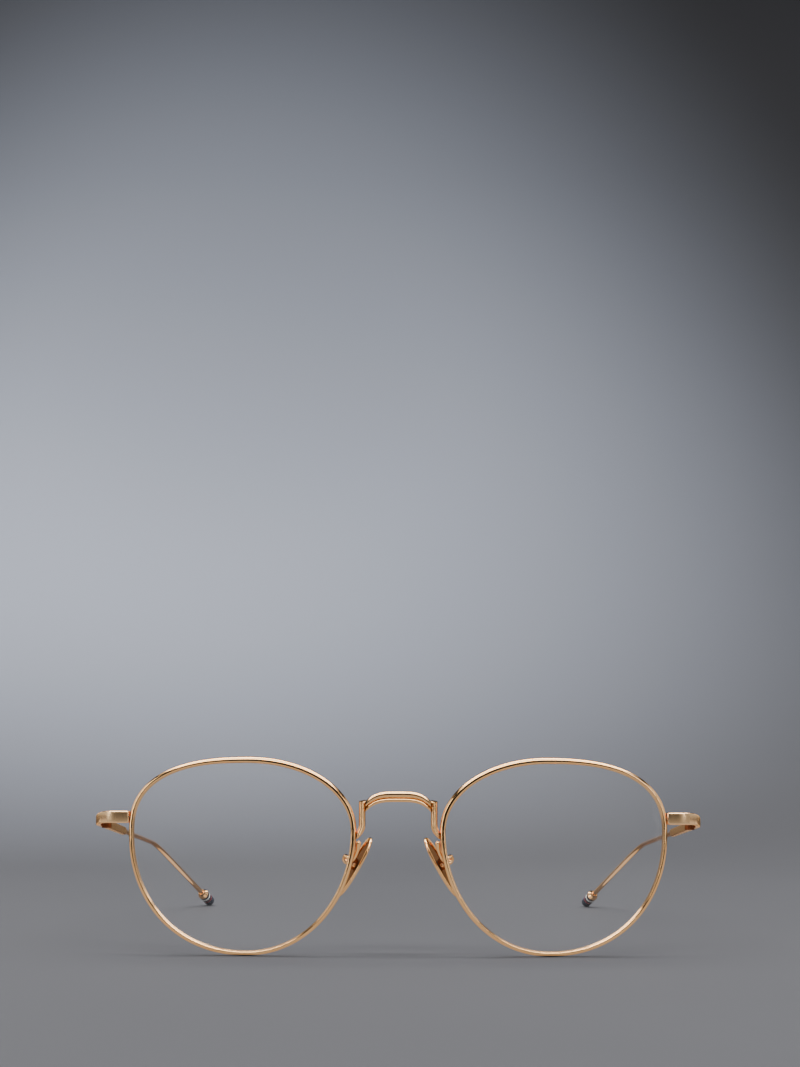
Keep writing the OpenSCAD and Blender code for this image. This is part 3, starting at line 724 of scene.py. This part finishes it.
def make_rim(label, side):
    """The rim runs once round the lens, from one side of its slit to the other."""
    half_split = math.degrees(RIM_SPLIT / 2 / lens_radius(LUG_ANGLE))
    shape = rim_section()
    angles = LUG_ANGLE + half_split + np.arange(RIM_STEPS + 1) * (360 - 2 * half_split) / RIM_STEPS
    rings = [
        [rim_point(a, FIT, 0)]
        + [rim_point(a, s[0] * rim_width(a) - GROOVE, s[1] * RIM_D) for s in shape]
        for a in angles
    ]
    cap_middle = 0.35
    ends = [rim_point(a, cap_middle * rim_width(a), 0) for a in (angles[0], angles[-1])]
    piece = skin(f"eyewire_{label}", to_row(rings, side), to_row(ends, side), sharp=40)
    seat(piece, POLISHED_GOLD, "front", "polished_gold", f"rim_{label}")


def make_lens(label, side):
    """Both faces follow the sphere, and the bevelled edge sits in the rim's groove."""
    lip = GROOVE + LENS_LIP
    half_t = LENS_T / 2
    angles = np.arange(LENS_STEPS) * 360 / LENS_STEPS
    shares = (0.2, 0.4, 0.6, 0.8, 0.94)

    def face(share, lift):
        return [worn(on_sphere(share * (lens_edge(a) - lip * edge_out(a)), lift)) for a in angles]

    def ring(grow, lift):
        return [rim_point(a, grow, lift) for a in angles]

    rings = [face(s, -half_t) for s in shares]
    rings += [ring(-lip, -half_t), ring(-FIT, 0), ring(-lip, half_t)]
    rings += [face(s, half_t) for s in reversed(shares)]
    poles = [worn(np.array([0, half_t, 0])), worn(np.array([0, -half_t, 0]))]
    piece = skin(f"demo_lens_{label}", to_row(rings, side), to_row(poles, side))
    seat(piece, CLEAR_LENS, "front", "demo_lens", f"lens_{label}")


def ridge(low, high, bulge, angles):
    """Part of an oval between two heights, which bulges forwards from the root of the ridges."""
    return [(RIDGE_ROOT * BAR_D + bulge * BAR_D * cosd(t), (high + low) / 2 + (high - low) / 2 * sind(t))
            for t in angles]


def ridge_section():
    """Two rounded ridges with a groove between them, over a flat back with bevelled edges."""
    groove = RIDGE_GROOVE * BAR_H
    upper = ridge(groove, BAR_H / 2, UPPER_BULGE, np.arange(90, -80, -9))
    lower = ridge(-BAR_H / 2, groove, LOWER_BULGE, np.arange(72, -91, -9))
    back = [(-0.44 * BAR_D, -0.48 * BAR_H), (-0.5 * BAR_D, -0.42 * BAR_H),
            (-0.5 * BAR_D, 0.42 * BAR_H), (-0.44 * BAR_D, 0.48 * BAR_H)]
    return upper + lower + back


def make_bridge():
    top = LENS_Z + BAR_RISE
    rows = []
    for x in np.linspace(-BAR_HALF, BAR_HALF, BAR_STEPS):
        z = top - BAR_H / 2 - BAR_DROP * (abs(x) / BAR_HALF) ** BAR_BEND
        rows.append((np.array([x, BAR_Y, z]), np.array([0, -1.0, 0]), np.array([0, 0, 1.0]), 0.0))
    piece = sweep("ridged_bar", rows, ridge_section(), POLISHED_GOLD, 1, sharp=40)
    seat(piece, None, "front", "polished_gold", "bridge_bar")


def make_post(label, side):
    """A post with a fluted front, cut to a wedge against the rim at its foot."""
    fluted_front = smooth_curve(
        [(-1, 0.2), (-0.75, 0.7), (-0.32, 0.93), (0, 0.8), (0.32, 0.93), (0.75, 0.7), (1, 0.2)], 4)
    flat_back = [(1, -0.75), (0.92, -0.8), (-0.92, -0.8), (-1, -0.75)]
    section = np.vstack([fluted_front, flat_back])
    foot_z = rim_point(POST_FOOT, 0, 0)[2]
    curl_z = foot_z + POST_CURL
    inner_line = BAR_HALF + POST_OFF_BAR
    rows = []
    for a in np.linspace(POST_FOOT, POST_CREST, POST_STEPS):
        edge = rim_point(a, rim_outside(a), 0)
        curl = max(0.0, (curl_z - edge[2]) / (curl_z - foot_z))
        reach = POST_REACH * curl * curl
        outer = min(inner_line + POST_W + reach, edge[0] - POST_OFF_RIM)
        inner = min(inner_line + reach, outer - POST_THINNEST)
        half = (outer - inner) / 2
        depth = mix(POST_FOOT_DEPTH, POST_DEPTH, min(1, 2 * half / POST_W))
        centre = np.array([(inner + outer) / 2, edge[1], edge[2]])
        rows.append((centre, np.array([half, 0, 0]), np.array([0, -depth, 0]), 0.0))
    # the crest is cut on a slant, lower towards the rim and towards the front, with a softened edge
    top, across, forward, _ = rows.pop()
    for rise, size in ((-0.12, 1.0), (-0.02, 0.97), (0.06, 0.84)):
        rows.append((
            top + np.array([0, 0, rise]),
            size * (across - np.array([0, 0, RIM_SLANT * across[0]])),
            size * (forward - np.array([0, 0, FRONT_SLANT * abs(forward[1])])),
            0.0,
        ))
    piece = sweep(f"fluted_post_{label}", rows, section, DRAWN_GOLD, side, sharp=40)
    seat(piece, None, "front", "polished_gold", f"bridge_post_{label}")


def make_pad_arm(label, side):
    """A wire with a rounded, swollen end beside the rim, looped behind the lens into the pad box."""
    r = ARM_D / 2
    beside = rim_outside(ARM_ANGLE) + r + ARM_OFF_RIM
    # the route: three points on the rim, four round the loop and two into the pad box
    keys = [
        rim_point(184.5, beside + 0.2, -0.2),
        rim_point(190, beside + 0.1, -0.8),
        rim_point(195, beside - 0.5, -RIM_D / 2 - r - 0.3),
        pad_point([BOX_HIGH + 1.4, -1.9, PAD_AXIS_Z + 0.95]),
        pad_point([BOX_HIGH + 1.7, -0.4, PAD_AXIS_Z + 0.75]),
        pad_point([BOX_HIGH + 1.4, 0.75, PAD_AXIS_Z - 0.2]),
        pad_point([BOX_HIGH + 0.8, 0.4, PAD_AXIS_Z - 0.6]),
        pad_point([BOX_HIGH + 0.25, 0.05, PAD_AXIS_Z - 0.25]),
        pad_point([BOX_HIGH - 0.1, 0, PAD_AXIS_Z - 0.15]),
    ]
    path = smooth_curve(keys, 16)
    along = np.concatenate([[0], np.cumsum(np.linalg.norm(np.diff(path, axis=0), axis=1))])
    bluntest = 0.12
    widths = []
    for s in along:
        swell = 1 + ARM_SWELL * (1 - ease((s - 2 * ARM_BEAD) / (2 * ARM_BEAD)))
        nose = math.sqrt(max(0.0, 1 - max(0.0, 1 - s / ARM_BEAD) ** 2))
        widths.append(r * swell * max(bluntest, nose))
    circle = [(cosd(t), sind(t)) for t in np.arange(0, 360, 15)]
    rows = upright_rows(path, PAD_TURN @ np.array([1.0, 0, 0]), widths, widths, [0] * len(path))
    piece = sweep(f"pad_wire_{label}", rows, circle, POLISHED_GOLD, side, sharp=60)
    seat(piece, None, "front", "polished_gold", f"pad_arm_{label}")


def make_pad(label, side):
    """Crowned skin face, rounded polished lip, and a satin tray on the back, coloured dark brown as painted
    shade.
    """
    around = 120
    power = 2.1
    tray = PAD_TRAY / PAD_T
    # share of the outline, inset from it in millimetres, and height in shares of the thickness
    skin_face = [(0.25, 0, -0.54), (0.5, 0, -0.5), (0.7, 0, -0.455), (0.85, 0, -0.4), (0.94, 0, -0.32)]
    lip = [(1, 0.12, -0.2), (1, 0.03, -0.05), (1, 0, 0.12), (1, 0.03, 0.3), (1, 0.12, 0.43), (1, 0.24, 0.49),
           (1, 0.34, 0.5), (1, 0.45, 0.47), (1, 0.54, 0.4), (1, 0.6, 0.28)]
    tray_floor = [(1, 0.66, tray + 0.02), (1, 0.74, tray), (0.6, 0, tray), (0.3, 0, tray)]
    crown_height = -0.55

    def outline(a):
        c, s = cosd(a), sind(a)
        reach = (abs(c / (PAD_W / 2)) ** power + abs(s / (PAD_L / 2)) ** power) ** (-1 / power)
        return reach * np.array([c, s])

    rings = []
    for share, inset, height in skin_face + lip + tray_floor:
        ring = []
        for j in range(around):
            e = outline(j * 360 / around)
            p = share * e - inset * unit(e)
            ring.append(pad_point([height * PAD_T, p[0], p[1]]))
        rings.append(ring)
    poles = [pad_point([crown_height * PAD_T, 0, 0]), pad_point([PAD_TRAY, 0, 0])]
    piece = skin(f"nose_pad_shell_{label}", to_row(rings, side), to_row(poles, side), sharp=50)
    piece.data.materials.append(POLISHED_GOLD)
    piece.data.materials.append(TRAY_GOLD_PAINTED_SHADE)
    # the faces at the tray's level that look outwards are satin, in the dark brown of painted shade
    lowest, highest = PAD_TRAY - 0.03, PAD_TRAY + 0.09
    middle, above = to_row(np.array([PAD_CENTRE, pad_point([1, 0, 0])]), side)
    outward = (above - middle) / MM
    for face in piece.data.polygons:
        height = (np.array(face.center) - middle) @ outward / MM
        if lowest < height < highest and np.array(face.normal) @ outward > 0.5:
            face.material_index = 1
    seat(piece, None, f"pad_{label}", "polished_gold", f"nose_pad_{label}")


QUARTER = 9                 # points round each corner of the strap


def corner_angles():
    return [q * 90 + (k + 0.5) * 90 / QUARTER for q in range(4) for k in range(QUARTER)]


def strap_section(thick, tall, corner):
    """A rectangle with round corners."""
    signs = [pair for pair in ((1, 1), (-1, 1), (-1, -1), (1, -1)) for k in range(QUARTER)]
    return [
        (sx * (thick / 2 - corner) + corner * cosd(a), sy * (tall / 2 - corner) + corner * sind(a))
        for (sx, sy), a in zip(signs, corner_angles())
    ]


# The corners are polished and the flat faces between them brushed
STRAP_POLISH = [1.0 if 0 < k < QUARTER - 1 else 0.0 for corner in range(4) for k in range(QUARTER)]


def endpiece_height(y):
    """Height of the endpiece's middle and its own height, which both ease from the rim to the hinge."""
    share = ease((y - LUG_Y) / (HINGE_Y - LUG_Y))
    return mix(LUG[2], HINGE_Z, share), mix(LUG_H, STRAP_H, share)


def endpiece_path():
    start = LUG[0] + LUG_GAP
    radius = BEND_C + TURN_OUT
    path = [(start, LUG_Y)]
    path += [(x, LUG_Y) for x in np.linspace(start + 0.1, STRAP_X - radius - 0.2, 6)]
    path += [(STRAP_X - radius * (1 - sind(t)), LUG_Y + radius * (1 - cosd(t)))
             for t in np.linspace(0, 90, 37)]
    path += [(STRAP_X, y) for y in np.linspace(LUG_Y + radius + 0.2, HINGE_Y - SEAM / 2, 5)]
    return np.array([(x, y, 0) for x, y in path])


def make_endpiece(label, side):
    path = endpiece_path()
    start = path[0][0]
    up = np.array([0, 0, 1.0])
    rings = []
    for p, way in zip(path, headings(path)):
        z, tall = endpiece_height(p[1])
        centre = np.array([p[0], p[1], z])
        across = np.cross(up, way)
        # the end at the rim is bevelled all round, as its long edges are
        bevel = END_BEVEL * (1 - ease((p[0] - start) / BEVEL_RUN)) if p[0] < BEND_X else 0
        section = strap_section(STRAP_T - 2 * bevel, tall - 2 * bevel, END_CORNER)
        rings.append([centre + s[0] * across + s[1] * up for s in section])
    piece = skin(f"endpiece_strap_{label}", to_row(rings, side), sharp=50)
    flags = []
    for v in piece.data.vertices:
        p = np.array(v.co) / MM
        z, tall = endpiece_height(p[1] + MIDDLE_Y)
        on_edge = abs(p[2] - z) > tall / 2 - EDGE_POLISH
        on_end = -0.1 < p[0] * side - start < END_POLISH
        flags.append(1.0 if on_edge or on_end else 0.0)
    mark = piece.data.attributes.new("polish", "FLOAT", "POINT")
    mark.data.foreach_set("value", np.array(flags, np.float32))
    seat(piece, SATIN_GOLD, "front", "satin_gold", f"endpiece_{label}")


def temple_path():
    """Strap, shoulder, wire and ear bend, down to where the wire ends inside the tip.

    Returns the path and, for each of its points, the way along the temple, which shapes the strap.
    """
    half_turn = math.acos(TEMPLE_WAY @ EAR_WAY) / 2
    tangent = EAR_R * math.tan(half_turn)
    bend_start = EAR_BEND - tangent * TEMPLE_WAY
    bend_out = unit(EAR_WAY - TEMPLE_WAY)
    inward = unit(bend_out - (bend_out @ TEMPLE_WAY) * TEMPLE_WAY)
    axis = bend_start + EAR_R * inward
    run = np.linalg.norm(bend_start - TEMPLE_START)
    distances = np.concatenate([
        np.linspace(0, STRAP_L, 30),
        STRAP_L + np.linspace(0.2, SHOULDER, 16),
        np.linspace(STRAP_L + SHOULDER + 1.5, run - 1, 24),
    ])
    path = [TEMPLE_START + d * TEMPLE_WAY for d in distances]
    path += [axis - EAR_R * math.cos(t) * inward + EAR_R * math.sin(t) * TEMPLE_WAY
             for t in np.linspace(0, 2 * half_turn, 40)]
    wire_end = COLLAR_START + (COLLAR_L + WIRE_INTO_TIP) * EAR_WAY
    path += [mix(path[-1], wire_end, t) for t in np.linspace(0.1, 1, 12)]
    all_wire = STRAP_L + SHOULDER
    reach = list(distances) + [all_wire] * (len(path) - len(distances))
    return np.array(path), reach


def make_temple(label, side):
    path, reach = temple_path()
    widths, heights, roundness = [], [], []
    for d in reach:
        slim = ease((d - STRAP_L) / SHOULDER)
        taper = mix(1.0, STRAP_TAPER, min(1.0, d / STRAP_L))
        widths.append(mix(1.0, WIRE_D / STRAP_T, slim))
        heights.append(mix(taper, WIRE_D / STRAP_H, slim))
        roundness.append(slim)
    strap = strap_section(STRAP_T, STRAP_H, STRAP_CORNER)
    wire = [(STRAP_T / 2 * cosd(a), STRAP_H / 2 * sind(a)) for a in corner_angles()]
    rows = upright_rows(path, np.array([0, 0, 1.0]), widths, heights, roundness)
    piece = sweep(f"temple_strap_{label}", rows, strap, SATIN_GOLD, side,
                  rounder=wire, polish=STRAP_POLISH, sharp=50)
    seat(piece, None, f"temple_{label}", "satin_gold", f"temple_{label}")


def dress_kept_nodes():
    """Materials for the construction's own small pieces, which stay as they are."""
    # the hinges and pad boxes take a dark gold that paints the shade they sit in
    finishes = {
        "pad_box": PAINTED_SHADE_GOLD, "pad_lug": POLISHED_GOLD, "pad_screw": SCREW_GOLD,
        "rim_lock_upper": POLISHED_GOLD, "rim_lock_lower": POLISHED_GOLD, "rim_screw": SCREW_GOLD,
        "hinge_front": PAINTED_SHADE_GOLD, "hinge_temple": PAINTED_SHADE_GOLD, "hinge_screw": SCREW_GOLD,
        "tip_collar": POLISHED_GOLD, "tip_bead": NAVY_TIP,
        "tip_ring_fore": CREAM_RING, "tip_ring_aft": RED_RING,
    }
    for node, finish in finishes.items():
        for label, _ in SIDES:
            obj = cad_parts[f"{node}_{label}"]
            obj.data.materials.clear()
            obj.data.materials.append(finish)


make_bridge()
for label, side in SIDES:
    make_rim(label, side)
    make_lens(label, side)
    make_post(label, side)
    make_pad_arm(label, side)
    make_pad(label, side)
    make_endpiece(label, side)
    make_temple(label, side)
dress_kept_nodes()


# Floor, light and camera

FLOOR_GREY = ((0.058, 0.058, 0.063, 1), (0.066, 0.066, 0.072, 1))
# Painted light: a pool of lighter grey painted on the floor and backdrop behind the glasses
PAINTED_LIGHT_POOL_GREY = (0.29, 0.31, 0.365, 1)
POOL_MIDDLE = (-0.12, 1.2, 0.3)  # behind the glasses and to the wearer's right
POOL_SPREAD = (1.9, 0.92, 1.35)  # one over its reach along X, Y and Z
POOL_CORE = 0.25            # share of its reach that is lightest


def grey_floor():
    """A grey floor that sweeps up into the backdrop, with a painted pool of light on it behind the glasses.
    """
    width, near, far, height, curve_r = 6.0, -2.0, 1.7, 3.0, 1.4
    line = [(near, 0.0), (far - curve_r, 0.0)]
    line += [(far - curve_r + curve_r * sind(t), curve_r * (1 - cosd(t))) for t in range(3, 91, 3)]
    line += [(far, height)]
    verts = [(x, y, z) for y, z in line for x in (-width / 2, width / 2)]
    faces = [(2 * i, 2 * i + 1, 2 * i + 3, 2 * i + 2) for i in range(len(line) - 1)]
    mesh = bpy.data.meshes.new("floor")
    mesh.from_pydata(verts, [], faces)
    mesh.shade_smooth()
    obj = new_object("floor", mesh)
    material, tree, shader = new_material("grey_floor")
    coords = tree.nodes.new("ShaderNodeTexCoord").outputs["Object"]
    noise = add_node(tree, "ShaderNodeTexNoise", {"Vector": coords, "Scale": 6.0, "Detail": 5.0})
    grey = mixed(tree, "RGBA", noise.outputs["Fac"], *FLOOR_GREY)
    # a wide soft pool of painted light: lighter grey behind the glasses
    away = add_node(tree, "ShaderNodeMapping", {"Vector": coords, "Location": [-v for v in POOL_MIDDLE]})
    spread = add_node(tree, "ShaderNodeVectorMath", {0: away.outputs[0], 1: POOL_SPREAD},
                      operation="MULTIPLY")
    reach = add_node(tree, "ShaderNodeVectorMath", {0: spread.outputs[0]}, operation="LENGTH")
    pool = add_node(tree, "ShaderNodeMapRange",
                    {"Value": reach.outputs["Value"], "From Min": 1.0, "From Max": POOL_CORE},
                    interpolation_type="SMOOTHSTEP")
    tree.links.new(mixed(tree, "RGBA", pool.outputs[0], grey, PAINTED_LIGHT_POOL_GREY), shader.inputs["Base Color"])
    shader.inputs["Roughness"].default_value = 0.7
    shader.inputs["Specular IOR Level"].default_value = 0.1
    mesh.materials.append(material)


GLASSES = (0, 0, 0.02)
WHITE = (1, 1, 1)
WARM_WHITE = (1, 0.97, 0.93)
CARD_Z = 0.0003             # of the cards that lie on the floor and shine upwards

# Name, place, what it points at, width and depth, brightness, and colour
LIGHTS = [
    ("overhead_box", (0, 0.05, 0.95), (0, 0.05, 0), (1.8, 1.3), 1.0, WHITE),
    ("overhead_strip", (0, -0.04, 0.94), (0, -0.04, 0), (1.5, 0.13), 24, WHITE),
    ("overhead_rear_strip", (0, 0.42, 0.94), GLASSES, (1.5, 0.3), 5, WHITE),
    ("front_box", (0, -0.84, 1.03), GLASSES, (1.8, 0.42), 8, WHITE),
    ("left_front_strip", (-0.8, -0.55, 0.3), GLASSES, (0.12, 0.6), 7, WHITE),
    ("left_side_box", (-1.0, 0.02, 0.36), GLASSES, (1.1, 0.65), 1.0, WHITE),
    ("right_front_strip", (0.66, -0.75, 0.3), GLASSES, (0.1, 0.6), 6, WHITE),
    ("right_side_box", (1.0, 0.0, 0.36), GLASSES, (1.2, 0.65), 0.9, WHITE),
    ("left_rear_box", (-0.78, 0.66, 0.3), GLASSES, (0.4, 0.6), 1.6, WHITE),
    ("right_rear_box", (0.78, 0.66, 0.3), GLASSES, (0.4, 0.6), 1.6, WHITE),
    ("left_low_box", (-0.72, 1.0, 0.17), GLASSES, (0.45, 0.3), 3, WHITE),
    ("right_low_box", (0.72, 1.0, 0.17), GLASSES, (0.45, 0.3), 3, WHITE),
    ("floor_card", (0, -0.14, CARD_Z), (0, -0.14, 1), (0.9, 0.2), 0.5, WARM_WHITE),
    ("rear_floor_card", (0, 0.018, CARD_Z), (0, 0.018, 1), (0.9, 0.096), 0.7, WARM_WHITE),
    ("backdrop_box", (-0.6, 0.7, 0.3), (-0.1, 1.6, 0.28), (0.3, 0.5), 8, WHITE),
]
ROOM_COLOUR = (0.80, 0.84, 0.9, 1)
ROOM_STRENGTH = 0.04


def soft_light(name, place, aim, size, glow, colour):
    """A soft box that the camera doesn't see, with glow in watts to a square metre and steradian."""
    light = bpy.data.lights.new(name, "AREA")
    light.shape = "RECTANGLE"
    light.size, light.size_y = size
    light.energy = glow * math.pi * size[0] * size[1]
    light.color = colour
    obj = bpy.data.objects.new(name, light)
    obj.location = place
    obj.rotation_euler = (Vector(aim) - Vector(place)).to_track_quat("-Z", "Y").to_euler()
    obj.visible_camera = False
    bpy.context.scene.collection.objects.link(obj)


def studio():
    """Broad boxes overhead and beside the glasses, with dark between them for the metal to mirror."""
    for light in LIGHTS:
        soft_light(*light)
    world = bpy.data.worlds.new("studio")
    bpy.context.scene.world = world
    world.use_nodes = True
    background = world.node_tree.nodes["Background"]
    background.inputs["Color"].default_value = ROOM_COLOUR
    background.inputs["Strength"].default_value = ROOM_STRENGTH


# The photograph's view, from pixels of the 800 x 1067 picture and millimetres of the glasses
FOCAL_PX = 2425.7           # focal length
VIEW_DISTANCE = 545.0       # from the camera to the lenses
EYE_HEIGHT = 52.8           # of the camera over the floor
MIDDLE_PX = 399.2           # column of the nose line
HORIZON_PX = 719.0          # row of the horizon
TILT = 0.2                  # of the picture to its right
PICTURE_W, PICTURE_H = 800.0, 1067.0
SENSOR = 36.0


def photograph_camera():
    data = bpy.data.cameras.new("camera")
    data.sensor_fit = "HORIZONTAL"
    data.sensor_width = SENSOR
    data.lens = FOCAL_PX / PICTURE_W * SENSOR
    data.clip_start = 0.01
    obj = bpy.data.objects.new("camera", data)
    obj.location = (0, -(VIEW_DISTANCE + MIDDLE_Y) * MM, EYE_HEIGHT * MM)
    rise = math.atan((HORIZON_PX - PICTURE_H / 2) / FOCAL_PX)
    swing = math.atan((MIDDLE_PX - PICTURE_W / 2) / FOCAL_PX)
    aim = Euler((math.pi / 2 + rise, 0, swing)).to_matrix()
    obj.rotation_euler = (aim @ Matrix.Rotation(math.radians(TILT), 3, "Z")).to_euler()
    bpy.context.scene.collection.objects.link(obj)
    bpy.context.scene.camera = obj


grey_floor()
studio()
photograph_camera()
